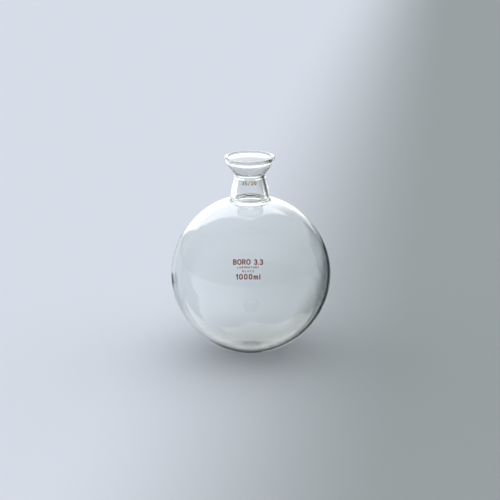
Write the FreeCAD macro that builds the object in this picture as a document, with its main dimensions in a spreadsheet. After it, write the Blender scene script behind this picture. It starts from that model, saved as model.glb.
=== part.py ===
"""One-litre round bottom receiving flask with a spherical ground socket, for a rotary evaporator.

Frame: +Z up along the flask's axis, origin at the lowest point of the bulb, front (the printed
side) towards -Y.  Millimetres.

The flask is flame-sealed from three glass parts that lie on each other face to face: the blown
bulb with its collar and mouth bead, the flared neck, and the ball socket.  The fired enamel marks
are thin solids that lie on the glass.
"""

import FreeCAD, Part
import math
import os
import Sketcher
from FreeCAD import Placement, Rotation, Vector

DOC = FreeCAD.newDocument("receiving_flask")
ORIGIN = (-1, 1)
VERTICAL_AXIS = -2
START, END, CENTRE = 1, 2, 3

DIMENSIONS = {
    # bulb
    "bulb_diameter": 131.0,
    "bulb_wall": 2.0,
    "mouth_diameter": 22.0,
    "mouth_bead": 3.7,
    "mouth_bead_depth": 1.6,
    # collar drawn up from the bulb, which the neck is sealed to
    "collar_rise": 1.0,
    "collar_root": 2.9,
    "collar_outer_diameter": 31.4,
    "collar_inner_diameter": 27.4,
    "collar_root_outer_diameter": 32.2,
    "collar_root_inner_diameter": 28.0,
    "collar_outer_blend": 2.4,
    "collar_inner_blend": 0.5,
    # neck
    "neck_side_radius": 400.0,
    "socket_seal_height": 148.2,
    "socket_seal_diameter": 26.28,
    # ball socket, nominal size 35/20
    "overall_height": 165.0,
    "ball_diameter": 34.925,
    "ball_centre_rise": 0.6,
    "bore_diameter": 20.0,
    "bore_edge_blend": 1.0,
    "socket_waist_diameter": 25.8,
    "socket_waist_blend": 4.0,
    "socket_shell_diameter": 38.2,
    "rim_diameter": 41.0,
    "rim_depth": 2.9,
    "rim_skirt_depth": 5.2,
    "rim_top_blend": 1.5,
    "rim_inner_blend": 0.8,
    "rim_lower_blend": 1.2,
    "rim_skirt_blend": 1.5,
    # fired enamel marks; a rise is from the middle of the block on the bulb to a line's own middle
    "enamel_thickness": 0.06,
    "enamel_reach": 3.0,
    "mark_latitude": 21.5,
    "mark_longitude": -2.1,
    "glass_type_mark_rise": 5.8,
    "lab_mark_upper_rise": 1.55,
    "lab_mark_lower_rise": -1.45,
    "capacity_mark_rise": -5.75,
    "joint_size_mark_height": 145.9,
    "joint_size_mark_longitude": -3.0,
    "large_cap_height": 4.4,
    "small_cap_height": 1.7,
    "joint_size_cap_height": 3.1,
}

# the lines on the bulb: name, text, alias of the cap height, gap between letters in cap heights
BULB_LINES = [
    ("glass_type_mark", "BORO 3.3", "large_cap_height", 0.12),
    ("lab_mark_upper", "LABORATORY", "small_cap_height", 0.43),
    ("lab_mark_lower", "GLASS", "small_cap_height", 0.65),
    ("capacity_mark", "1000ml", "large_cap_height", 0.26),
]
NECK_TEXT, NECK_TEXT_GAP = "35/20", 0.235

# Lettering: each glyph is its advance width and its strokes, in cap heights, drawn with a
# round-ended pen.  A stroke is a straight (x0, y0, x1, y1) or an arc (x, y, radius, first, last).
PEN = 0.24
GLYPHS = {
    " ": (0.25, []),
    ".": (0.0, [(0.0, 0.0, 0.0, 0.02)]),
    "/": (0.42, [(0.0, -0.06, 0.42, 1.06)]),
    "0": (
        0.56,
        [
            (0.28, 0.72, 0.28, 0, 180),
            (0.0, 0.72, 0.0, 0.28),
            (0.28, 0.28, 0.28, 180, 360),
            (0.56, 0.28, 0.56, 0.72),
        ],
    ),
    "1": (0.24, [(0.0, 0.78, 0.24, 1.0), (0.24, 1.0, 0.24, 0.0)]),
    "2": (
        0.56,
        [(0.28, 0.72, 0.28, -40, 170), (0.494, 0.54, 0.0, 0.0), (0.0, 0.0, 0.56, 0.0)],
    ),
    "3": (0.54, [(0.26, 0.75, 0.25, -90, 150), (0.26, 0.25, 0.28, -150, 90)]),
    "5": (
        0.56,
        [
            (0.52, 1.0, 0.08, 1.0),
            (0.08, 1.0, 0.05, 0.55),
            (0.26, 0.31, 0.31, -150, 130),
        ],
    ),
    "A": (0.68, [(0.0, 0.0, 0.34, 1.0), (0.34, 1.0, 0.68, 0.0), (0.12, 0.34, 0.56, 0.34)]),
    "B": (
        0.56,
        [
            (0.0, 0.0, 0.0, 1.0),
            (0.0, 1.0, 0.3, 1.0),
            (0.3, 0.76, 0.24, -90, 90),
            (0.0, 0.52, 0.3, 0.52),
            (0.3, 0.26, 0.26, -90, 90),
            (0.0, 0.0, 0.3, 0.0),
        ],
    ),
    "G": (
        0.64,
        [
            (0.32, 0.68, 0.32, 25, 180),
            (0.0, 0.68, 0.0, 0.32),
            (0.32, 0.32, 0.32, 180, 360),
            (0.64, 0.32, 0.64, 0.46),
            (0.64, 0.46, 0.38, 0.46),
        ],
    ),
    "L": (0.46, [(0.0, 1.0, 0.0, 0.0), (0.0, 0.0, 0.46, 0.0)]),
    "O": (
        0.7,
        [
            (0.35, 0.65, 0.35, 0, 180),
            (0.0, 0.65, 0.0, 0.35),
            (0.35, 0.35, 0.35, 180, 360),
            (0.7, 0.35, 0.7, 0.65),
        ],
    ),
    "R": (
        0.58,
        [
            (0.0, 0.0, 0.0, 1.0),
            (0.0, 1.0, 0.3, 1.0),
            (0.3, 0.74, 0.26, -90, 90),
            (0.0, 0.48, 0.3, 0.48),
            (0.28, 0.48, 0.58, 0.0),
        ],
    ),
    "S": (0.54, [(0.27, 0.75, 0.25, 30, 270), (0.27, 0.25, 0.25, -150, 90)]),
    "T": (0.6, [(0.0, 1.0, 0.6, 1.0), (0.3, 1.0, 0.3, 0.0)]),
    "Y": (0.6, [(0.0, 1.0, 0.3, 0.5), (0.6, 1.0, 0.3, 0.5), (0.3, 0.5, 0.3, 0.0)]),
    "l": (0.0, [(0.0, 0.0, 0.0, 1.0)]),
    "m": (
        0.76,
        [
            (0.0, 0.0, 0.0, 0.66),
            (0.19, 0.47, 0.19, 0, 180),
            (0.38, 0.47, 0.38, 0.0),
            (0.57, 0.47, 0.19, 0, 180),
            (0.76, 0.47, 0.76, 0.0),
        ],
    ),
}


def make_sheet():
    """The spreadsheet of driving dimensions, one alias per row."""
    sheet = DOC.addObject("Spreadsheet::Sheet", "dimensions")
    for row, (alias, value) in enumerate(DIMENSIONS.items(), start=1):
        sheet.set(f"A{row}", alias)
        sheet.set(f"B{row}", str(value))
        sheet.setAlias(f"B{row}", alias)
    DOC.recompute()
    return sheet


SHEET = make_sheet()


def size(alias):
    """A driving dimension's value, in millimetres or degrees."""
    return float(getattr(SHEET, alias))


# ---------------------------------------------------------------- sketch and feature helpers


def make_body(name):
    body = DOC.addObject("PartDesign::Body", name)
    body.Label = name
    return body


def make_sketch(body, name):
    """An empty sketch on the body's XZ plane: its x is the radius and its y the height."""
    sketch = body.newObject("Sketcher::SketchObject", name)
    plane = [f for f in body.Origin.OriginFeatures if f.Role == "XZ_Plane"][0]
    sketch.AttachmentSupport = (plane, [""])
    sketch.MapMode = "FlatFace"
    return sketch


def line(sketch, start, end):
    return sketch.addGeometry(Part.LineSegment(Vector(*start, 0), Vector(*end, 0)), False)


def arc(sketch, centre, radius, first, last):
    """An arc run anticlockwise between two angles in degrees."""
    circle = Part.Circle(Vector(*centre, 0), Vector(0, 0, 1), radius)
    geometry = Part.ArcOfCircle(circle, math.radians(first), math.radians(last))
    return sketch.addGeometry(geometry, False)


def constrain(sketch, kind, *args):
    return sketch.addConstraint(Sketcher.Constraint(kind, *args))


def drive(sketch, kind, geometry, value, expression):
    """A dimension constraint bound to an expression on the sheet."""
    index = sketch.addConstraint(Sketcher.Constraint(kind, *geometry, value))
    sketch.setExpression(f"Constraints[{index}]", expression)


def join(sketch, *pairs):
    """Coincident constraints, each ((geometry, point), (geometry, point))."""
    for a, b in pairs:
        constrain(sketch, "Coincident", *a, *b)


def revolve(body, sketch, name):
    feature = body.newObject("PartDesign::Revolution", name)
    feature.Profile = sketch
    feature.ReferenceAxis = (sketch, ["V_Axis"])
    feature.Angle = 360
    sketch.Visibility = False
    DOC.recompute()
    return feature


def ring_edges(shape, radius, height, slack=0.35):
    """The names of the circular edges about the Z axis near that radius and height."""
    names = []
    for number, edge in enumerate(shape.Edges, start=1):
        if edge.Degenerated:
            continue
        curve = edge.Curve
        if not isinstance(curve, Part.Circle) or abs(curve.Axis.z) < 0.999:
            continue
        if abs(curve.Radius - radius) < slack and abs(curve.Center.z - height) < slack:
            names.append(f"Edge{number}")
    return names


def fillet(body, name, alias, radius, height):
    """A fillet on the ring edge at that radius and height, sized by the sheet's alias."""
    base = body.Tip
    edges = ring_edges(base.Shape, radius, height)
    if not edges:
        raise RuntimeError(f"{name}: no ring edge of radius {radius:.3f} at height {height:.3f}")
    feature = body.newObject("PartDesign::Fillet", name)
    feature.Base = (base, edges)
    feature.Radius = size(alias)
    feature.setExpression("Radius", f"dimensions.{alias}")
    DOC.recompute()
    return feature


def on_circle(radius, across):
    """The height above a circle's centre of its point at that distance from the axis."""
    return math.sqrt(radius * radius - across * across)


# ---------------------------------------------------------------- glass parts


def make_bulb():
    """The blown sphere, its collar, and the rounded bead left round the mouth by the sealing flame."""
    body = make_body("bulb")
    radius, wall = size("bulb_diameter") / 2, size("bulb_wall")
    bead = size("mouth_bead") / 2
    bead_ring = size("mouth_diameter") / 2 + bead
    inner = radius - wall
    centre = (0, radius)

    sketch = make_sketch(body, "bulb_wall_profile")
    outer_top = (bead_ring, radius + on_circle(radius, bead_ring))
    inner_top = (bead_ring, radius + on_circle(inner, bead_ring))
    outer = arc(sketch, centre, radius, -90, math.degrees(math.acos(bead_ring / radius)))
    inside = arc(sketch, centre, inner, -90, math.degrees(math.acos(bead_ring / inner)))
    mouth = line(sketch, outer_top, inner_top)
    pole = line(sketch, (0, wall), (0, 0))
    join(
        sketch,
        ((outer, START), ORIGIN),
        ((inside, CENTRE), (outer, CENTRE)),
        ((outer, END), (mouth, START)),
        ((mouth, END), (inside, END)),
        ((inside, START), (pole, START)),
        ((pole, END), (outer, START)),
    )
    constrain(sketch, "PointOnObject", outer, CENTRE, VERTICAL_AXIS)
    constrain(sketch, "PointOnObject", inside, START, VERTICAL_AXIS)
    constrain(sketch, "Vertical", mouth)
    drive(sketch, "Radius", (outer,), radius, "dimensions.bulb_diameter / 2")
    drive(
        sketch, "Radius", (inside,), inner, "dimensions.bulb_diameter / 2 - dimensions.bulb_wall"
    )
    drive(
        sketch,
        "DistanceX",
        (mouth, START),
        bead_ring,
        "dimensions.mouth_diameter / 2 + dimensions.mouth_bead / 2",
    )
    revolve(body, sketch, "bulb_wall")

    sketch = make_sketch(body, "mouth_bead_profile")
    bead_height = 2 * radius - size("mouth_bead_depth")
    circle = Part.Circle(Vector(bead_ring, bead_height, 0), Vector(0, 0, 1), bead)
    ring = sketch.addGeometry(circle, False)
    drive(sketch, "Radius", (ring,), bead, "dimensions.mouth_bead / 2")
    drive(
        sketch,
        "DistanceX",
        (ring, CENTRE),
        bead_ring,
        "dimensions.mouth_diameter / 2 + dimensions.mouth_bead / 2",
    )
    drive(
        sketch,
        "DistanceY",
        (ring, CENTRE),
        bead_height,
        "dimensions.bulb_diameter - dimensions.mouth_bead_depth",
    )
    revolve(body, sketch, "mouth_bead")

    sketch = make_sketch(body, "collar_profile")
    top = size("bulb_diameter") + size("collar_rise")
    root = size("bulb_diameter") - size("collar_root")
    corners = [
        (size("collar_root_inner_diameter") / 2, root),
        (size("collar_root_outer_diameter") / 2, root),
        (size("collar_outer_diameter") / 2, top),
        (size("collar_inner_diameter") / 2, top),
    ]
    sides = [line(sketch, corners[i], corners[(i + 1) % 4]) for i in range(4)]
    join(sketch, *[((sides[i], END), (sides[(i + 1) % 4], START)) for i in range(4)])
    constrain(sketch, "Horizontal", sides[0])
    constrain(sketch, "Horizontal", sides[2])
    across = [
        "dimensions.collar_root_inner_diameter / 2",
        "dimensions.collar_root_outer_diameter / 2",
        "dimensions.collar_outer_diameter / 2",
        "dimensions.collar_inner_diameter / 2",
    ]
    for side, corner, expression in zip(sides, corners, across):
        drive(sketch, "DistanceX", (side, START), corner[0], expression)
    drive(
        sketch,
        "DistanceY",
        (sides[0], START),
        root,
        "dimensions.bulb_diameter - dimensions.collar_root",
    )
    drive(
        sketch,
        "DistanceY",
        (sides[2], START),
        top,
        "dimensions.bulb_diameter + dimensions.collar_rise",
    )
    revolve(body, sketch, "collar")

    foot = (size("collar_root_outer_diameter") + size("collar_outer_diameter")) / 4
    fillet(
        body,
        "collar_outer_blend",
        "collar_outer_blend",
        foot,
        radius + on_circle(radius, foot),
    )
    ledge = size("collar_inner_diameter") / 2
    fillet(
        body,
        "collar_inner_blend",
        "collar_inner_blend",
        ledge,
        bead_height + on_circle(bead, ledge - bead_ring),
    )
    return body


def neck_side():
    """The ends of the neck's bulged side, foot first, and the centre of its arc.

    The centre lies across the axis, square to the middle of the chord between the ends.
    """
    foot = (size("collar_outer_diameter") / 2, size("bulb_diameter") + size("collar_rise"))
    top = (size("socket_seal_diameter") / 2, size("socket_seal_height"))
    chord = math.dist(foot, top)
    depth = on_circle(size("neck_side_radius"), chord / 2) / chord
    centre = (
        (foot[0] + top[0]) / 2 - depth * (top[1] - foot[1]),
        (foot[1] + top[1]) / 2 + depth * (top[0] - foot[0]),
    )
    return foot, top, centre


def direction(centre, point):
    """The direction of a point seen from a centre, in degrees."""
    return math.degrees(math.atan2(point[1] - centre[1], point[0] - centre[0]))


def make_neck():
    """The neck, tapering straight inside and with slightly bulged sides outside."""
    body = make_body("neck")
    side_foot, side_top, centre = neck_side()
    foot_outer, foot = side_foot
    top_outer, top = side_top
    foot_inner, bore = size("collar_inner_diameter") / 2, size("bore_diameter") / 2
    bulge = size("neck_side_radius")

    sketch = make_sketch(body, "neck_profile")
    base = line(sketch, (foot_inner, foot), (foot_outer, foot))
    side = arc(
        sketch, centre, bulge, direction(centre, side_foot), direction(centre, side_top)
    )
    crown = line(sketch, (top_outer, top), (bore, top))
    inside = line(sketch, (bore, top), (foot_inner, foot))
    join(
        sketch,
        ((base, END), (side, START)),
        ((side, END), (crown, START)),
        ((crown, END), (inside, START)),
        ((inside, END), (base, START)),
    )
    constrain(sketch, "Horizontal", base)
    constrain(sketch, "Horizontal", crown)
    drive(sketch, "Radius", (side,), bulge, "dimensions.neck_side_radius")
    drive(
        sketch, "DistanceX", (base, START), foot_inner, "dimensions.collar_inner_diameter / 2"
    )
    drive(sketch, "DistanceX", (base, END), foot_outer, "dimensions.collar_outer_diameter / 2")
    drive(
        sketch,
        "DistanceY",
        (base, START),
        foot,
        "dimensions.bulb_diameter + dimensions.collar_rise",
    )
    drive(
        sketch, "DistanceX", (crown, START), top_outer, "dimensions.socket_seal_diameter / 2"
    )
    drive(sketch, "DistanceX", (crown, END), bore, "dimensions.bore_diameter / 2")
    drive(sketch, "DistanceY", (crown, START), top, "dimensions.socket_seal_height")
    revolve(body, sketch, "neck_wall")
    return body


def make_ball_socket():
    """The ground cup: a spherical seat down to the bore, under a fire-polished rim."""
    body = make_body("ball_socket")
    rim, seal = size("overall_height"), size("socket_seal_height")
    seat, shell = size("ball_diameter") / 2, size("socket_shell_diameter") / 2
    bore, waist = size("bore_diameter") / 2, size("socket_waist_diameter") / 2
    edge, foot_outer = size("rim_diameter") / 2, size("socket_seal_diameter") / 2
    ball = rim + size("ball_centre_rise")
    centre = (0, ball)
    skirt_height = rim - size("rim_skirt_depth")
    seat_across = on_circle(seat, ball - rim)
    skirt_across = on_circle(shell, ball - skirt_height)
    bore_top = ball - on_circle(seat, bore)
    waist_top = ball - on_circle(shell, waist)

    sketch = make_sketch(body, "socket_profile")
    seat_arc = arc(
        sketch,
        centre,
        seat,
        -math.degrees(math.acos(bore / seat)),
        -math.degrees(math.acos(seat_across / seat)),
    )
    bore_line = line(sketch, (bore, bore_top), (bore, seal))
    foot = line(sketch, (bore, seal), (foot_outer, seal))
    waist_line = line(sketch, (foot_outer, seal), (waist, waist_top))
    shell_arc = arc(
        sketch,
        centre,
        shell,
        -math.degrees(math.acos(waist / shell)),
        -math.degrees(math.acos(skirt_across / shell)),
    )
    skirt = line(sketch, (skirt_across, skirt_height), (edge, rim - size("rim_depth")))
    band = line(sketch, (edge, rim - size("rim_depth")), (edge, rim))
    lip = line(sketch, (edge, rim), (seat_across, rim))
    join(
        sketch,
        ((seat_arc, START), (bore_line, START)),
        ((bore_line, END), (foot, START)),
        ((foot, END), (waist_line, START)),
        ((waist_line, END), (shell_arc, START)),
        ((shell_arc, END), (skirt, START)),
        ((skirt, END), (band, START)),
        ((band, END), (lip, START)),
        ((lip, END), (seat_arc, END)),
        ((shell_arc, CENTRE), (seat_arc, CENTRE)),
    )
    constrain(sketch, "PointOnObject", seat_arc, CENTRE, VERTICAL_AXIS)
    constrain(sketch, "Vertical", bore_line)
    constrain(sketch, "Vertical", band)
    constrain(sketch, "Horizontal", foot)
    constrain(sketch, "Horizontal", lip)
    drive(sketch, "Radius", (seat_arc,), seat, "dimensions.ball_diameter / 2")
    drive(sketch, "Radius", (shell_arc,), shell, "dimensions.socket_shell_diameter / 2")
    drive(sketch, "DistanceX", (bore_line, START), bore, "dimensions.bore_diameter / 2")
    drive(
        sketch, "DistanceX", (foot, END), foot_outer, "dimensions.socket_seal_diameter / 2"
    )
    drive(sketch, "DistanceX", (waist_line, END), waist, "dimensions.socket_waist_diameter / 2")
    drive(sketch, "DistanceX", (band, START), edge, "dimensions.rim_diameter / 2")
    drive(
        sketch,
        "DistanceY",
        (seat_arc, CENTRE),
        ball,
        "dimensions.overall_height + dimensions.ball_centre_rise",
    )
    drive(sketch, "DistanceY", (lip, START), rim, "dimensions.overall_height")
    drive(sketch, "DistanceY", (foot, START), seal, "dimensions.socket_seal_height")
    drive(
        sketch,
        "DistanceY",
        (skirt, START),
        skirt_height,
        "dimensions.overall_height - dimensions.rim_skirt_depth",
    )
    drive(
        sketch,
        "DistanceY",
        (band, START),
        rim - size("rim_depth"),
        "dimensions.overall_height - dimensions.rim_depth",
    )
    revolve(body, sketch, "socket_wall")

    fillet(body, "socket_waist_blend", "socket_waist_blend", waist, waist_top)
    fillet(body, "rim_skirt_blend", "rim_skirt_blend", skirt_across, skirt_height)
    fillet(body, "rim_lower_blend", "rim_lower_blend", edge, rim - size("rim_depth"))
    fillet(body, "rim_top_blend", "rim_top_blend", edge, rim)
    fillet(body, "rim_inner_blend", "rim_inner_blend", seat_across, rim)
    fillet(body, "bore_edge_blend", "bore_edge_blend", bore, bore_top)
    return body


# ---------------------------------------------------------------- enamel marks


def pen_stroke(stroke, scale):
    """The flat face a round-ended pen covers along one stroke, in the XY plane."""
    half = PEN / 2 * scale
    values = [value * scale for value in stroke[:3]]
    if len(stroke) == 4:
        start, end = Vector(values[0], values[1], 0), Vector(values[2], stroke[3] * scale, 0)
        along = (end - start).normalize()
        side = Vector(-along.y, along.x, 0) * half
        wire = Part.Wire(
            [
                Part.LineSegment(start + side, end + side).toShape(),
                Part.Arc(end + side, end + along * half, end - side).toShape(),
                Part.LineSegment(end - side, start - side).toShape(),
                Part.Arc(start - side, start - along * half, start + side).toShape(),
            ]
        )
        return Part.Face(wire)

    centre, radius = Vector(values[0], values[1], 0), values[2]
    first, last = (math.radians(angle) for angle in stroke[3:])

    def at(distance, angle):
        return centre + Vector(math.cos(angle), math.sin(angle), 0) * distance

    def cap(angle, turn):
        tip = at(radius, angle) + Vector(-math.sin(angle), math.cos(angle), 0) * half * turn
        return Part.Arc(at(radius + half, angle), tip, at(radius - half, angle)).toShape()

    middle = (first + last) / 2
    outer = Part.Arc(
        at(radius + half, first), at(radius + half, middle), at(radius + half, last)
    )
    inner = Part.Arc(
        at(radius - half, last), at(radius - half, middle), at(radius - half, first)
    )
    return Part.Face(Part.Wire([outer.toShape(), cap(last, 1), inner.toShape(), cap(first, -1)]))


def glyph_prism(strokes, scale, advance):
    """A glyph cut from a slab that stands on z = 0 facing -Y, centred on x = 0 and y = 0."""
    reach = size("enamel_reach")
    slabs = []
    for stroke in strokes:
        face = pen_stroke(stroke, scale)
        face.translate(Vector((PEN - advance) / 2 * scale, PEN / 2 * scale, -reach))
        slabs.append(face.extrude(Vector(0, 0, 2 * reach)))
    prism = slabs[0]
    if len(slabs) > 1:
        prism = prism.multiFuse(slabs[1:]).removeSplitter()
    prism.rotate(Vector(0, 0, 0), Vector(1, 0, 0), 90)
    return prism


def lettering(text, cap_height, gap):
    """The glyphs of a line of text that is centred on x = 0, each with its middle's x."""
    scale = cap_height / (1 + PEN)
    width = sum(GLYPHS[letter][0] + PEN for letter in text) + gap * (len(text) - 1)
    left = -width / 2
    placed = []
    for letter in text:
        advance, strokes = GLYPHS[letter]
        advance += PEN
        if strokes:
            prism = glyph_prism(strokes, scale, advance)
            placed.append((prism, (left + advance / 2) * scale))
        left += advance + gap
    return placed


def make_bulb_shell():
    """The thin shell that lies on the bulb, from which the bulb's lines are cut."""
    spheres = []
    for name, radius in (
        ("bulb_enamel_outside", "dimensions.bulb_diameter / 2 + dimensions.enamel_thickness"),
        ("bulb_enamel_inside", "dimensions.bulb_diameter / 2"),
    ):
        sphere = DOC.addObject("Part::Sphere", name)
        sphere.setExpression("Radius", radius)
        sphere.setExpression("Placement.Base.z", "dimensions.bulb_diameter / 2")
        spheres.append(sphere)
    shell = DOC.addObject("Part::Cut", "bulb_enamel_shell")
    shell.Base, shell.Tool = spheres
    DOC.recompute()
    return shell


def make_neck_shell():
    """The thin shell that lies on the neck's side, from which the neck's line is cut."""
    foot, top, centre = neck_side()
    inner = size("neck_side_radius")
    outer = inner + size("enamel_thickness")
    outer_foot = (centre[0] + on_circle(outer, foot[1] - centre[1]), foot[1])
    outer_top = (centre[0] + on_circle(outer, top[1] - centre[1]), top[1])

    sketch = DOC.addObject("Sketcher::SketchObject", "neck_enamel_profile")
    sketch.Placement = Placement(Vector(0, 0, 0), Rotation(Vector(1, 0, 0), 90))
    inside = arc(sketch, centre, inner, direction(centre, foot), direction(centre, top))
    outside = arc(
        sketch, centre, outer, direction(centre, outer_foot), direction(centre, outer_top)
    )
    lower = line(sketch, foot, outer_foot)
    upper = line(sketch, outer_top, top)
    join(
        sketch,
        ((inside, CENTRE), (outside, CENTRE)),
        ((inside, START), (lower, START)),
        ((lower, END), (outside, START)),
        ((outside, END), (upper, START)),
        ((upper, END), (inside, END)),
    )
    constrain(sketch, "Horizontal", lower)
    constrain(sketch, "Horizontal", upper)
    drive(sketch, "Radius", (inside,), inner, "dimensions.neck_side_radius")
    drive(
        sketch,
        "Radius",
        (outside,),
        outer,
        "dimensions.neck_side_radius + dimensions.enamel_thickness",
    )
    drive(sketch, "DistanceX", (lower, START), foot[0], "dimensions.collar_outer_diameter / 2")
    drive(
        sketch,
        "DistanceY",
        (lower, START),
        foot[1],
        "dimensions.bulb_diameter + dimensions.collar_rise",
    )
    drive(sketch, "DistanceX", (upper, END), top[0], "dimensions.socket_seal_diameter / 2")
    drive(sketch, "DistanceY", (upper, END), top[1], "dimensions.socket_seal_height")

    shell = DOC.addObject("Part::Revolution", "neck_enamel_shell")
    shell.Source = sketch
    shell.Base = Vector(0, 0, 0)
    shell.Axis = Vector(0, 0, 1)
    shell.Angle = 360
    shell.Solid = True
    DOC.recompute()
    return shell


def make_mark(name, prisms, shell):
    """The enamel of one line: its letters' prisms, cut down to the shell that lies on the glass."""
    letters = DOC.addObject("Part::Feature", name + "_letters")
    letters.Shape = Part.makeCompound(prisms)
    mark = DOC.addObject("Part::Common", name)
    mark.Label = name
    mark.Base, mark.Tool = shell, letters
    DOC.recompute()
    return mark


def make_bulb_marks():
    """The block of lines on the bulb's front, all projected on it from one direction."""
    shell = make_bulb_shell()
    radius = size("bulb_diameter") / 2
    origin = Vector(0, 0, 0)
    marks = []
    for name, text, cap_alias, gap in BULB_LINES:
        cap_height = size(cap_alias)
        foot = size(name + "_rise") - cap_height / 2
        prisms = []
        for prism, across in lettering(text, cap_height, gap):
            prism.translate(Vector(across, -radius, foot))
            prism.rotate(origin, Vector(1, 0, 0), -size("mark_latitude"))
            prism.rotate(origin, Vector(0, 0, 1), size("mark_longitude"))
            prism.translate(Vector(0, 0, radius))
            prisms.append(prism)
        marks.append(make_mark(name, prisms, shell))
    return marks


def make_neck_mark():
    """The joint's size on the front of the neck, each letter square to the glass under it."""
    centre = neck_side()[2]
    height, cap_height = size("joint_size_mark_height"), size("joint_size_cap_height")
    radius = centre[0] + on_circle(size("neck_side_radius"), height - centre[1])
    prisms = []
    for prism, across in lettering(NECK_TEXT, cap_height, NECK_TEXT_GAP):
        turn = size("joint_size_mark_longitude") + math.degrees(across / radius)
        prism.translate(Vector(0, -radius, height - cap_height / 2))
        prism.rotate(Vector(0, 0, 0), Vector(0, 0, 1), turn)
        prisms.append(prism)
    return make_mark("joint_size_mark", prisms, make_neck_shell())


# ---------------------------------------------------------------- build, check, export

PARTS = [make_bulb(), make_neck(), make_ball_socket(), *make_bulb_marks(), make_neck_mark()]
DOC.recompute()

for item in DOC.Objects:
    if "Invalid" in item.State or "Error" in item.State:
        raise RuntimeError(f"{item.Name} did not compute: {item.State}")

for part in PARTS:
    if part.Shape.isNull() or not part.Shape.isValid() or not part.Shape.Solids:
        raise RuntimeError(f"{part.Label} has no valid solid")

os.makedirs("parts", exist_ok=True)
for part in PARTS:
    part.Shape.exportStep(f"parts/{part.Label}.step")
    print(f"{part.Label}: {len(part.Shape.Solids)} solids, {part.Shape.Volume:.1f} mm3")
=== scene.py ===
"""The looks of the one-litre receiving flask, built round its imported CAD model.  Metres, +Z up.

The three glass parts are smooth surfaces of revolution that stand for their CAD nodes; the fired
enamel marks are the CAD nodes themselves with their own finishes.
"""
import math

import bpy
import numpy as np
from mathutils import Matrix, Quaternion, Vector


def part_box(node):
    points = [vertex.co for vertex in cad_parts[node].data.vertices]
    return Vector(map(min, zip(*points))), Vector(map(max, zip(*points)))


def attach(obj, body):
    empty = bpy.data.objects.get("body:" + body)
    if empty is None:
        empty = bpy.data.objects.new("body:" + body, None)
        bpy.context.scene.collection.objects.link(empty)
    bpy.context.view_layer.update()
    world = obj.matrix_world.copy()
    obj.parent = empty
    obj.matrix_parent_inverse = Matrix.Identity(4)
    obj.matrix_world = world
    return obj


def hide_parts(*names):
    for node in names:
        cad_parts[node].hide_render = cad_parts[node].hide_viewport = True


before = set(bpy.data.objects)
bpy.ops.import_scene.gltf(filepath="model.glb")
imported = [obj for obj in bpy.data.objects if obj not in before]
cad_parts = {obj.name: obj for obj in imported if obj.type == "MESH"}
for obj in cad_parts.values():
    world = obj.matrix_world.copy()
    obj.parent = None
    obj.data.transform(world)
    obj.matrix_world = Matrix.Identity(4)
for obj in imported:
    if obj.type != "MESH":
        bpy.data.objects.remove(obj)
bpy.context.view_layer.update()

MM = 0.001
AROUND = 224  # facets round the axis

# Heights of the seals and the rim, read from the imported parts
BULB_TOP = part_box("bulb")[1].z / MM
NECK_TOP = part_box("neck")[1].z / MM
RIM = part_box("ball_socket")[1].z / MM

# Bulb, collar and mouth bead, millimetres
BULB_R, WALL = 65.5, 2.0
COLLAR_OUT, COLLAR_IN = 15.7, 13.7
COLLAR_ROOT_OUT, COLLAR_ROOT = 16.1, 128.1  # its outside radius lower down, and at what height
BEAD_RING, BEAD_R, BEAD_HEIGHT = 12.85, 1.85, 129.4
LIP = 13.27  # where the inner sphere meets the bead, from the axis
# Neck
NECK_TOP_OUT, BORE, NECK_SIDE_R = 13.14, 10.0, 400.0
# Ball socket
SEAT_R, SHELL_R, BALL_RISE = 17.4625, 19.1, 0.6
WAIST, RIM_R, RIM_DEPTH, SKIRT_DEPTH = 12.9, 20.5, 2.9, 5.2
GROUND_TOP = 3.0  # the ground zone ends this far under the rim
GROUND_FOOT = 0.3  # and this far above the bore's edge
SEAT_SLACK = 0.05  # a step this close to the seat's sphere counts as on it
# How far each rounded corner is cut back, in the order of its profile, and steps round a corner
COLLAR_CUTS = [1.9]
MOUTH_CUTS = [0.35, 0.6]
SOCKET_CUTS = [2.2, 0.9, 0.8, 1.4, 1.1, 0.5]
CORNER_STEPS = 12
# Distances between points along a profile
SPHERE_STEP, SHELL_STEP, EDGE_STEP, BEAD_STEP = 1.4, 0.3, 0.2, 0.15

TINY = 1e-6  # lengths under this are nothing

GLASS_IOR = 1.473


# ---------------------------------------------------------------- profiles


def arc(centre, radius, first, last, step):
    """Points of a circle from one angle to another in degrees, about a step apart."""
    turn = math.radians(last - first)
    count = max(8, int(abs(turn) * radius / step))
    angle = np.radians(first) + turn * np.linspace(0, 1, count + 1)
    return np.stack([centre[0] + radius * np.cos(angle), centre[1] + radius * np.sin(angle)], 1)


def line(start, end, step=0.5):
    """Points of a straight run, about a step apart."""
    start, end = np.array(start, float), np.array(end, float)
    count = max(2, int(np.linalg.norm(end - start) / step))
    return start + (end - start) * np.linspace(0, 1, count + 1)[:, None]


def lengths(points):
    """The distance along a polyline to each of its points."""
    return np.concatenate([[0], np.cumsum(np.linalg.norm(np.diff(points, axis=0), axis=1))])


def trimmed(points, head, tail):
    """The polyline without a length at its head and one at its tail."""
    along = lengths(points)
    first, last = head, along[-1] - tail
    inside = (along > first + TINY) & (along < last - TINY)
    ends = [
        [[np.interp(place, along, points[:, k]) for k in (0, 1)]] for place in (first, last)
    ]
    return np.concatenate([ends[0], points[inside], ends[1]])


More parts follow.
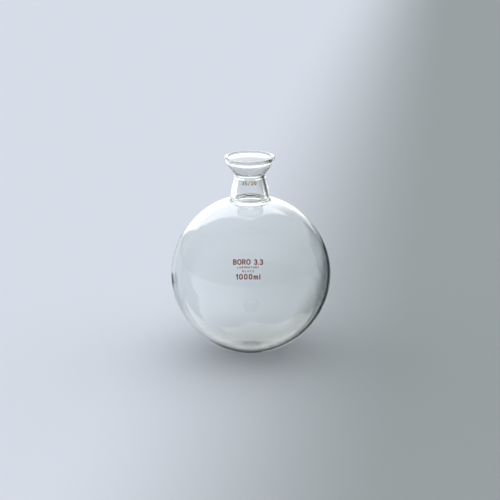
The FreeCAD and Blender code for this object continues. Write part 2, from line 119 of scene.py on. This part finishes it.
def blended(runs, setbacks):
    """Runs joined end to end with their corners rounded.

    Each corner is cut back by its setback on both sides, and a parabola takes its place: the
    weighted mean (1-t)^2 a + 2t(1-t) corner + t^2 b of the cut ends and the corner.
    """
    setbacks = [0.0, *setbacks, 0.0]
    cut = [trimmed(run, setbacks[k], setbacks[k + 1]) for k, run in enumerate(runs)]
    t = np.linspace(0, 1, CORNER_STEPS + 1)[1:-1, None]
    joined = [cut[0]]
    for k in range(1, len(runs)):
        start, corner, end = cut[k - 1][-1], runs[k][0], cut[k][0]
        joined.append((1 - t) ** 2 * start + 2 * t * (1 - t) * corner + t**2 * end)
        joined.append(cut[k])
    return np.concatenate(joined)


def on_circle(radius, across):
    """The height above a circle's centre of its point at that distance from the axis."""
    return math.sqrt(radius**2 - across**2)


def angle_at(radius, across):
    """The angle above the horizontal of a circle's point at that distance from the axis."""
    return math.degrees(math.acos(across / radius))


# ---------------------------------------------------------------- surfaces of revolution


def turned(name, faces_of_profile, materials):
    """A closed surface of revolution from profile faces that follow each other round the section.

    Each profile face is (points, slots): points (r, z) in millimetres and the material slot of
    each step between them.  A point (r, z) at angle a lies at (r cos a, r sin a, z); its normal
    is the profile's tangent (dr, dz) turned to (dz, -dr).  Faces meet in sharp edges.  A profile
    that starts and ends on the axis is closed there by fans; any other closes on itself.
    """
    rings, ring_normals, step_rings, step_normals, step_slots = [], [], [], [], []
    for points, slots in faces_of_profile:
        tangent = np.gradient(points, lengths(points), axis=0)
        normal = np.stack([tangent[:, 1], -tangent[:, 0]], 1)
        normal /= np.linalg.norm(normal, axis=1)[:, None]
        normal[points[:, 0] < TINY, 0] = 0
        first_ring = len(rings) - 1 if rings else 0
        first_normal = len(ring_normals)
        rings.extend(points if not rings else points[1:])
        ring_normals.extend(normal)
        steps = np.arange(len(points) - 1)
        step_rings.append(first_ring + steps)
        step_normals.append(first_normal + steps)
        step_slots.append(np.broadcast_to(slots, steps.shape))
    rings, ring_normals = np.array(rings), np.array(ring_normals)
    low_ring, low_normal = np.concatenate(step_rings), np.concatenate(step_normals)
    slot = np.concatenate(step_slots)
    high_ring = low_ring + 1
    if np.linalg.norm(rings[-1] - rings[0]) < TINY:
        rings = rings[:-1]
        high_ring = high_ring % len(rings)

    pole = rings[:, 0] < TINY
    size = np.where(pole, 1, AROUND)
    base = np.concatenate([[0], np.cumsum(size)[:-1]])
    angle = 2 * np.pi * np.arange(AROUND) / AROUND
    circle = np.stack([np.cos(angle), np.sin(angle)], 1)
    ring_of = np.repeat(np.arange(len(rings)), size)
    spoke_of = np.arange(len(ring_of)) - base[ring_of]
    place = np.concatenate([circle[spoke_of] * rings[ring_of, :1], rings[ring_of, 1:]], 1)

    spoke = np.arange(AROUND)
    after = (spoke + 1) % AROUND
    a = base[low_ring][:, None] + np.where(pole[low_ring][:, None], 0, spoke)
    b = base[low_ring][:, None] + np.where(pole[low_ring][:, None], 0, after)
    c = base[high_ring][:, None] + np.where(pole[high_ring][:, None], 0, after)
    d = base[high_ring][:, None] + np.where(pole[high_ring][:, None], 0, spoke)
    corners = np.stack([a, b, c, d], 2).reshape(-1, 4)
    normal_row = np.stack([low_normal, low_normal, low_normal + 1, low_normal + 1], 1)
    normal_row = np.repeat(normal_row, AROUND, axis=0)
    normal_spoke = np.tile(np.stack([spoke, after, after, spoke], 1), (len(low_ring), 1))
    keep = np.ones(corners.shape, bool)
    keep[:, 1] &= corners[:, 0] != corners[:, 1]
    keep[:, 3] &= corners[:, 2] != corners[:, 3]
    slot = np.repeat(slot, AROUND)

    profile_normal = ring_normals[normal_row]
    corner_normal = np.concatenate(
        [circle[normal_spoke] * profile_normal[..., :1], profile_normal[..., 1:]], 2
    )

    loops = corners[keep]
    loop_normals = corner_normal[keep]
    loop_total = keep.sum(1)
    loop_start = np.concatenate([[0], np.cumsum(loop_total)[:-1]])

    mesh = bpy.data.meshes.new(name)
    mesh.vertices.add(len(place))
    mesh.vertices.foreach_set("co", (place * MM).ravel())
    mesh.loops.add(len(loops))
    mesh.loops.foreach_set("vertex_index", loops)
    mesh.polygons.add(len(loop_total))
    mesh.polygons.foreach_set("loop_start", loop_start)
    mesh.polygons.foreach_set("loop_total", loop_total)
    mesh.polygons.foreach_set("material_index", slot.astype(np.int32))
    mesh.polygons.foreach_set("use_smooth", np.ones(len(loop_total), bool))
    mesh.update(calc_edges=True)
    mesh.validate()
    mesh.normals_split_custom_set(loop_normals)
    for material in materials:
        mesh.materials.append(material)
    piece = bpy.data.objects.new(name, mesh)
    bpy.context.scene.collection.objects.link(piece)
    return piece


# ---------------------------------------------------------------- shader words


class Value:
    """A shader socket that Python's operators can reckon with."""

    def __init__(self, shader, socket):
        self.shader, self.socket = shader, socket

    def reckon(self, operation, left, right):
        return self.shader.node("Math", {"operation": operation}, {0: left, 1: right})

    def __add__(self, other):
        return self.reckon("ADD", self, other)

    def __sub__(self, other):
        return self.reckon("SUBTRACT", self, other)

    def __rsub__(self, other):
        return self.reckon("SUBTRACT", other, self)

    def __mul__(self, other):
        return self.reckon("MULTIPLY", self, other)

    __radd__ = __add__
    __rmul__ = __mul__

    def at_most(self, limit):
        return self.reckon("MINIMUM", self, limit)

    def at_least(self, limit):
        return self.reckon("MAXIMUM", self, limit)


class Shader:
    """The node tree of a material or of the world, filled by one method."""

    def __init__(self, owner):
        self.owner = owner
        owner.use_nodes = True
        self.tree = owner.node_tree
        self.tree.nodes.clear()

    def node(self, kind, settings=None, sockets=None, out=0):
        """A new node: its settings first, then its sockets' values or links; gives one output."""
        made = self.tree.nodes.new("ShaderNode" + kind)
        for key, value in (settings or {}).items():
            if key == "stops":
                ramp = made.color_ramp
                while len(ramp.elements) < len(value):
                    ramp.elements.new(0.5)
                for element, (position, colour) in zip(ramp.elements, value):
                    element.position, element.color = position, (*colour, 1)
            else:
                setattr(made, key, value)
        for key, value in (sockets or {}).items():
            if isinstance(value, Value):
                self.tree.links.new(value.socket, made.inputs[key])
            else:
                made.inputs[key].default_value = value
        return Value(self, made.outputs[out]) if made.outputs else None

    def finish(self, surface):
        """Lead a surface to the output; gives the finished material."""
        self.node("OutputMaterial", None, {"Surface": surface})
        return self.owner

    def principled(self, sockets):
        """Finish the material with one principled surface."""
        return self.finish(self.node("BsdfPrincipled", None, sockets))

    def axes(self, coordinates="Object"):
        """The x, y and z of the shaded point as three values."""
        place = self.node("TexCoord", out=coordinates)
        return [self.node("SeparateXYZ", None, {"Vector": place}, axis) for axis in "XYZ"]

    def noise(self, scale, detail=2.0, stretch=(1, 1, 1)):
        """Noise on the object's own coordinates, in features per metre, stretched by axis."""
        place = self.node("TexCoord", out="Object")
        place = self.node("Mapping", None, {"Vector": place, "Scale": stretch})
        return self.node("TexNoise", None, {"Vector": place, "Scale": scale, "Detail": detail})

    def smooth(self, value, low, high):
        """0 below the low value and 1 above the high one, with a smooth step between."""
        return self.node(
            "MapRange",
            {"interpolation_type": "SMOOTHSTEP", "clamp": True},
            {"Value": value, "From Min": low, "From Max": high},
        )

    def between(self, factor, first, second):
        """A colour that goes from the first to the second as the factor rises."""
        return self.node("ValToRGB", {"stops": [(0.0, first), (1.0, second)]}, {"Fac": factor})

    def bump(self, height, strength, distance):
        """The surface's normal, tilted by a height that spans a distance in metres."""
        return self.node(
            "Bump",
            None,
            {"Strength": strength, "Distance": distance, "Height": height},
            "Normal",
        )


def material_shader(name):
    """An empty shader for a new material."""
    return Shader(bpy.data.materials.new(name))


def clear_glass():
    """Fire-polished borosilicate glass with the slow swell that blowing leaves in it."""
    shader = material_shader("clear_glass")
    swell = shader.noise(scale=14, detail=1.0)
    clouds = shader.noise(scale=30, detail=2.0)
    return shader.principled(
        {
            "Base Color": shader.between(clouds, (0.965, 0.985, 0.975), (0.985, 0.995, 0.99)),
            "Roughness": 0.0,
            "IOR": GLASS_IOR,
            "Transmission Weight": 1.0,
            "Normal": shader.bump(swell, strength=0.25, distance=0.0004),
        }
    )


def ground_glass():
    """The matt seat: ground with grit that turned round the axis, so its marks run in rings."""
    shader = material_shader("ground_glass")
    grit = shader.noise(scale=5200, detail=4.0)
    rings = shader.noise(scale=900, detail=3.0, stretch=(1, 1, 9))
    height = grit * 0.6 + rings * 0.4
    return shader.principled(
        {
            "Base Color": shader.between(rings, (0.72, 0.75, 0.765), (0.80, 0.83, 0.84)),
            "Roughness": rings * 0.2 + 0.5,
            "IOR": GLASS_IOR,
            "Transmission Weight": 0.8,
            "Normal": shader.bump(height, strength=0.35, distance=0.00003),
        }
    )


def sealed_face():
    """The face where two glass parts are melted into one: nothing is seen there."""
    shader = material_shader("sealed_face")
    return shader.finish(shader.node("BsdfTransparent"))


def enamel(name, thin, full):
    """Fired enamel: a satin colour, thinner in places where the screen held less paste."""
    shader = material_shader(name)
    body = shader.noise(scale=2400, detail=3.0)
    return shader.principled(
        {
            "Base Color": shader.between(body, thin, full),
            "Roughness": body * 0.25 + 0.3,
            "Normal": shader.bump(body, strength=0.3, distance=0.00002),
        }
    )


CLEAR, GROUND, SEALED = clear_glass(), ground_glass(), sealed_face()


# ---------------------------------------------------------------- glass parts


def make_bulb():
    """Sphere, rounded up into the collar; the flat seal; then collar, bead and inner sphere."""
    collar_slope = (COLLAR_ROOT_OUT - COLLAR_OUT) / (BULB_TOP - COLLAR_ROOT)
    foot = COLLAR_OUT + collar_slope * (BULB_TOP - (BULB_R + on_circle(BULB_R, COLLAR_OUT)))
    foot_height = BULB_R + on_circle(BULB_R, foot)
    outer = blended(
        [
            arc((0, BULB_R), BULB_R, -90, angle_at(BULB_R, foot), SPHERE_STEP),
            line((foot, foot_height), (COLLAR_OUT, BULB_TOP), EDGE_STEP),
        ],
        COLLAR_CUTS,
    )
    outer[0, 0] = 0
    seal = line((COLLAR_OUT, BULB_TOP), (COLLAR_IN, BULB_TOP))
    ledge = BEAD_HEIGHT + on_circle(BEAD_R, COLLAR_IN - BEAD_RING)
    inner_r = BULB_R - WALL
    lip_height = BULB_R + on_circle(inner_r, LIP)
    bead_first = math.degrees(math.atan2(ledge - BEAD_HEIGHT, COLLAR_IN - BEAD_RING))
    bead_last = math.degrees(math.atan2(lip_height - BEAD_HEIGHT, LIP - BEAD_RING)) + 360
    inner = blended(
        [
            line((COLLAR_IN, BULB_TOP), (COLLAR_IN, ledge), EDGE_STEP),
            arc((BEAD_RING, BEAD_HEIGHT), BEAD_R, bead_first, bead_last, BEAD_STEP),
            arc((0, BULB_R), inner_r, angle_at(inner_r, LIP), -90, SPHERE_STEP),
        ],
        MOUTH_CUTS,
    )
    inner[-1, 0] = 0
    return turned("bulb_glass", [(outer, 0), (seal, 1), (inner, 0)], [CLEAR, SEALED])


def make_neck():
    """Side of one long arc, flat seals above and below, and a straight taper inside."""
    foot, top = np.array([COLLAR_OUT, BULB_TOP]), np.array([NECK_TOP_OUT, NECK_TOP])
    chord = top - foot
    span = np.linalg.norm(chord)
    middle = (foot + top) / 2
    centre = middle + np.array([-chord[1], chord[0]]) / span * on_circle(NECK_SIDE_R, span / 2)
    first, last = (
        math.degrees(math.atan2(*(point - centre)[::-1])) for point in (foot, top)
    )
    side = arc(centre, NECK_SIDE_R, first, last, SHELL_STEP)
    side[0], side[-1] = foot, top
    return turned(
        "neck_glass",
        [
            (side, 0),
            (line(top, (BORE, NECK_TOP)), 1),
            (line((BORE, NECK_TOP), (COLLAR_IN, BULB_TOP), SHELL_STEP), 0),
            (line((COLLAR_IN, BULB_TOP), foot), 1),
        ],
        [CLEAR, SEALED],
    )


def make_ball_socket():
    """Flared foot, waist, shell, beaded rim, ground seat and bore, back to the seal below."""
    ball = RIM + BALL_RISE
    centre = (0, ball)
    waist_height = ball - on_circle(SHELL_R, WAIST)
    skirt = on_circle(SHELL_R, SKIRT_DEPTH + BALL_RISE)
    seat_edge = on_circle(SEAT_R, BALL_RISE)
    bore_height = ball - on_circle(SEAT_R, BORE)
    wall = blended(
        [
            line((NECK_TOP_OUT, NECK_TOP), (WAIST, waist_height), SHELL_STEP),
            arc(centre, SHELL_R, -angle_at(SHELL_R, WAIST), -angle_at(SHELL_R, skirt), SHELL_STEP),
            line((skirt, RIM - SKIRT_DEPTH), (RIM_R, RIM - RIM_DEPTH), EDGE_STEP),
            line((RIM_R, RIM - RIM_DEPTH), (RIM_R, RIM), EDGE_STEP),
            line((RIM_R, RIM), (seat_edge, RIM), EDGE_STEP),
            arc(centre, SEAT_R, -angle_at(SEAT_R, seat_edge), -angle_at(SEAT_R, BORE), EDGE_STEP),
            line((BORE, bore_height), (BORE, NECK_TOP), SHELL_STEP),
        ],
        SOCKET_CUTS,
    )
    middle = (wall[1:] + wall[:-1]) / 2
    height = middle[:, 1]
    on_seat = np.hypot(middle[:, 0], height - ball) < SEAT_R + SEAT_SLACK
    ground = on_seat & (height < RIM - GROUND_TOP) & (height > bore_height + GROUND_FOOT)
    return turned(
        "socket_glass",
        [
            (wall, np.where(ground, 1, 0)),
            (line((BORE, NECK_TOP), (NECK_TOP_OUT, NECK_TOP)), 2),
        ],
        [CLEAR, GROUND, SEALED],
    )


for piece, node, slot_name in (
    (make_bulb(), "bulb", "bulb_glass"),
    (make_neck(), "neck", "neck_glass"),
    (make_ball_socket(), "ball_socket", "socket_glass"),
):
    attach(piece, "root")
    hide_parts(node)

RED = enamel("red_enamel", (0.42, 0.045, 0.02), (0.20, 0.016, 0.01))
AMBER = enamel("amber_enamel", (0.60, 0.31, 0.03), (0.36, 0.17, 0.01))
for node, finish in (
    ("glass_type_mark", RED),
    ("lab_mark_upper", RED),
    ("lab_mark_lower", RED),
    ("capacity_mark", RED),
    ("joint_size_mark", AMBER),
):
    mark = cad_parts[node]
    mark.data.materials.clear()
    mark.data.materials.append(finish)


# ---------------------------------------------------------------- stage, light and camera


def paper():
    """Pale studio paper, a light blue-grey on the left and grey on the right; the darkening to the
    right is painted shade, the fall-off of a light from the left.
    """
    shader = material_shader("studio_paper_painted_shade")
    across, depth, _ = shader.axes()
    lean, left_end, right_end = 0.15, -0.11, 0.14
    # painted shade: the colour darkens from left to right where the light falls off
    painted_falloff = shader.smooth(across - depth * lean, left_end, right_end)
    painted_shade_tone = shader.between(painted_falloff, (0.645, 0.67, 0.715), (0.305, 0.33, 0.325))
    return shader.principled({"Base Color": painted_shade_tone, "Roughness": 0.9, "Specular IOR Level": 0.0})


def sheet(name, corners, material):
    """A flat four-cornered sheet."""
    mesh = bpy.data.meshes.new(name)
    mesh.from_pydata(corners, [], [(0, 1, 2, 3)])
    mesh.materials.append(material)
    piece = bpy.data.objects.new(name, mesh)
    bpy.context.scene.collection.objects.link(piece)
    return piece


def level(left, right, front, rear, height):
    """The corners of a level sheet."""
    return [
        (left, front, height),
        (right, front, height),
        (right, rear, height),
        (left, rear, height),
    ]


def upright(first, second, top):
    """The corners of a sheet that stands on the floor from one place (x, y) to another."""
    return [(*first, 0.0), (*second, 0.0), (*second, top), (*first, top)]


def faded_sheet(name, corners, colour, radiance, mask):
    """A sheet of an even glow that only the glass sees; its mask fades it to nothing. The bright
    sheets are lamps; the dark sheets lying on the floor paint shadow and a dark reflection into
    what the glass shows.

    The mask is a function of the shader and the sheet's x, y and z in metres.
    """
    shader = material_shader(name)
    even = shader.node("Emission", None, {"Color": (*colour, 1), "Strength": radiance})
    clear = shader.node("BsdfTransparent")
    seen = mask(shader, *shader.axes())
    surface = shader.node("MixShader", None, {0: seen, 1: clear, 2: even})
    card = sheet(name, corners, shader.finish(surface))
    card.visible_camera = card.visible_diffuse = card.visible_shadow = False


def overhead_mask(shader, x, y, z):
    """A V that opens to the rear, with its left arm leaning out further than its right one."""
    left_slope, right_slope, edge = 0.72, 1.1, (0.03, 0.20)
    left = shader.smooth(y + x.at_most(0) * left_slope, *edge)
    right = shader.smooth(y - x.at_least(0) * right_slope, *edge)
    return left * right


def rear_mask(shader, x, y, z):
    """Its left edge leans out at 45 degrees up to a height; its right side fades out slowly."""
    leaning_height, left_foot, left_edge = 0.62, 0.47, (0.0, 0.1)
    right_slope, right_edge = 0.3, (0.0, 0.45)
    left = shader.smooth(x + z.at_most(leaning_height) + left_foot, *left_edge)
    right = 1 - shader.smooth(x - z * right_slope, *right_edge)
    return left * right


def painted_shadow_right_mask(shader, x, y, z):
    """Painted shadow of the flask on the floor, seen only in the glass: dark to the right of the
    flask, from beside it to behind it.
    """
    near_slope, near_edge = 0.3, (0.015, 0.045)
    front_slope, front_edge = 0.5, (-0.08, -0.01)
    beside = shader.smooth(x - y * near_slope, *near_edge)
    behind = shader.smooth(y - x * front_slope, *front_edge)
    return beside * behind


def painted_reflection_left_mask(shader, x, y, z):
    """Painted dark reflection: floor to the left of the flask that only the glass shows dark,
    deepest at the rear, faint beside the flask.
    """
    slope, near_edge, faint = 0.2, (0.055, 0.07), 0.3
    rear_edge, front_edge, far_edge = (0.12, 0.145), (0.0, 0.05), (0.12, 0.18)
    outward = shader.smooth(-1 * x - y * slope, *near_edge)
    deep = faint + shader.smooth(y, *rear_edge) * (1 - faint)
    ends = shader.smooth(y, *front_edge) * (1 - shader.smooth(-1 * x, *far_edge))
    return outward * deep * ends


def side_mask(shader, x, y, z):
    """A dark card that fades out towards its top."""
    return 1 - shader.smooth(z, 0.2, 0.3)


def painted_contact_shadow_mask(shader, x, y, z):
    """Painted contact shadow that only the glass sees: a dark oval under the flask, wider than it
    is deep and a little forward of the axis.
    """
    centre_x, centre_y, squeeze, edge = -0.002, -0.010, 0.45, (0.00005, 0.0004)
    across, depth = (x - centre_x) * squeeze, y - centre_y
    return 1 - shader.smooth(across * across + depth * depth, *edge)


FLOOR_HALF = 6.0
BOX_TOP, BOX_REAR = 0.95, 0.95  # both softboxes end at this height and this far behind
WHITE = (1, 1, 1)

# The floor's colour holds painted shade, darker towards the right.
sheet("floor", level(-FLOOR_HALF, FLOOR_HALF, -FLOOR_HALF, FLOOR_HALF, 0), paper())
for card in (
    ("overhead_softbox", level(-1.2, 0.8, 0.03, BOX_REAR, BOX_TOP), WHITE, 2.6, overhead_mask),
    ("rear_softbox", upright((-1.1, BOX_REAR), (0.75, BOX_REAR), BOX_TOP), WHITE, 2.2, rear_mask),
    # painted shadow on the floor to the right, seen only in the glass
    ("painted_shadow_right_card", level(0.0, 1.2, -0.3, 0.62, 0.002), (0.02, 0.035, 0.03), 1.0, painted_shadow_right_mask),
    # painted dark reflection of the floor to the left, seen only in the glass
    ("painted_reflection_left_card", level(-0.18, -0.05, 0.0, 0.19, 0.002), (0.06, 0.07, 0.075), 1.0, painted_reflection_left_mask),
    ("side_flag", upright((0.34, 0.50), (0.56, 0.22), 0.3), (0.02, 0.03, 0.027), 1.0, side_mask),
    # painted contact shadow under the flask, seen only in the glass
    ("painted_contact_shadow_card", level(-0.06, 0.06, -0.05, 0.03, 0.0005), (0.03, 0.045, 0.04), 1.0, painted_contact_shadow_mask),
):
    faded_sheet(*card)


def light_the_room():
    """A white room, lit from behind and above the flask and dim on the side of the camera."""
    world = bpy.data.worlds.new("room")
    shader = Shader(world)
    _, depth, height = shader.axes("Generated")
    dim, bright, edge = 0.45, 1.45, (-0.4, 0.6)
    strength = dim + shader.smooth(depth * 0.7 + height * 0.5, *edge) * (bright - dim)
    light = shader.node("Background", None, {"Color": (0.90, 0.93, 0.97, 1), "Strength": strength})
    shader.node("OutputWorld", None, {"Surface": light})
    bpy.context.scene.world = world
    world.cycles_visibility.glossy = False


light_the_room()

# The camera looks down at the flask's middle from the front.  Degrees and metres.
ELEVATION, ROLL = 18.0, 0.66
DISTANCE, AIM_HEIGHT, AIM_ACROSS = 1.2, 0.0856, -0.00055
SENSOR_MM, LENS_MM = 36.0, 105.2568


def place_the_camera():
    """Look at the aim point from in front and above, with a slight roll."""
    camera = bpy.data.cameras.new("camera")
    camera.sensor_width = SENSOR_MM
    camera.lens = LENS_MM
    camera.clip_start, camera.clip_end = 0.05, 50
    eye = bpy.data.objects.new("camera", camera)
    lean = math.radians(ELEVATION)
    back = Vector((0, -math.cos(lean), math.sin(lean)))
    eye.location = Vector((AIM_ACROSS, 0, AIM_HEIGHT)) + back * DISTANCE
    eye.rotation_mode = "QUATERNION"
    roll = Quaternion((0, 0, 1), math.radians(-ROLL))
    eye.rotation_quaternion = (-back).to_track_quat("-Z", "Y") @ roll
    bpy.context.scene.collection.objects.link(eye)
    bpy.context.scene.camera = eye


place_the_camera()

# Light runs many times to and fro inside the glass wall, so its paths may be long.
BOUNCES = 64
scene = bpy.context.scene
scene.view_settings.view_transform = "Standard"
scene.view_settings.look = "None"
scene.cycles.max_bounces = BOUNCES
scene.cycles.transmission_bounces = BOUNCES
scene.cycles.glossy_bounces = BOUNCES
scene.cycles.transparent_max_bounces = BOUNCES
scene.cycles.use_denoising = True
